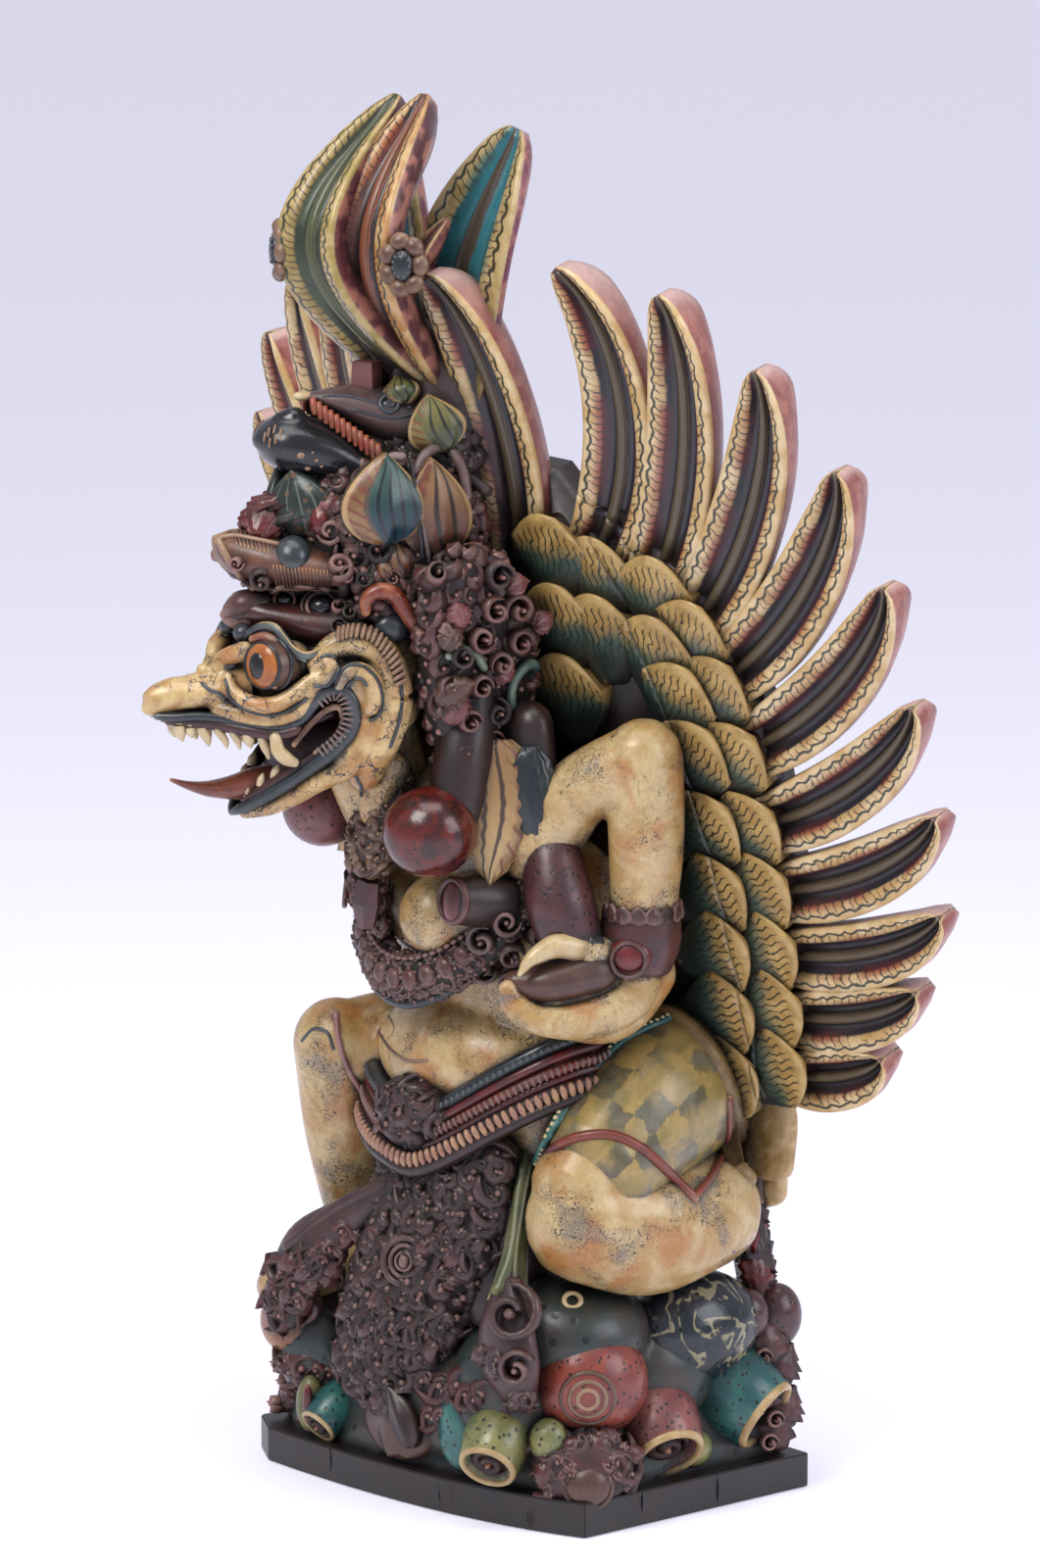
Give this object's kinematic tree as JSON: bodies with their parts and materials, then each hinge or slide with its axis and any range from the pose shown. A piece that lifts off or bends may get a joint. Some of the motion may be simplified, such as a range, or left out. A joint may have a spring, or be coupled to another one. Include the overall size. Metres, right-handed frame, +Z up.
{
  "type": "garuda figure",
  "caption": "Carved and painted wooden garuda kneeling on a coral rock and plinth, wings raised in fans, crowned head with an open beak and a tail crest above.",
  "frame": {"origin": "middle of the plinth's underside, where it rests", "axes": "+Z up; the figure faces -Y and its own left hand is at +X"},
  "size_m": [0.5874, 0.3698, 0.8532],
  "materials": {
    "figure_paint": "painted and varnished, satin, worn on the ridges",
    "left_wing_paint": "painted and varnished, satin, worn on the tips",
    "right_wing_paint": "painted and varnished, satin, worn on the tips"
  },
  "bodies": {
    "root": {"figure_and_base": "figure_paint", "left_wing_board": "left_wing_paint", "right_wing_board": "right_wing_paint"}
  },
  "joints": []
}
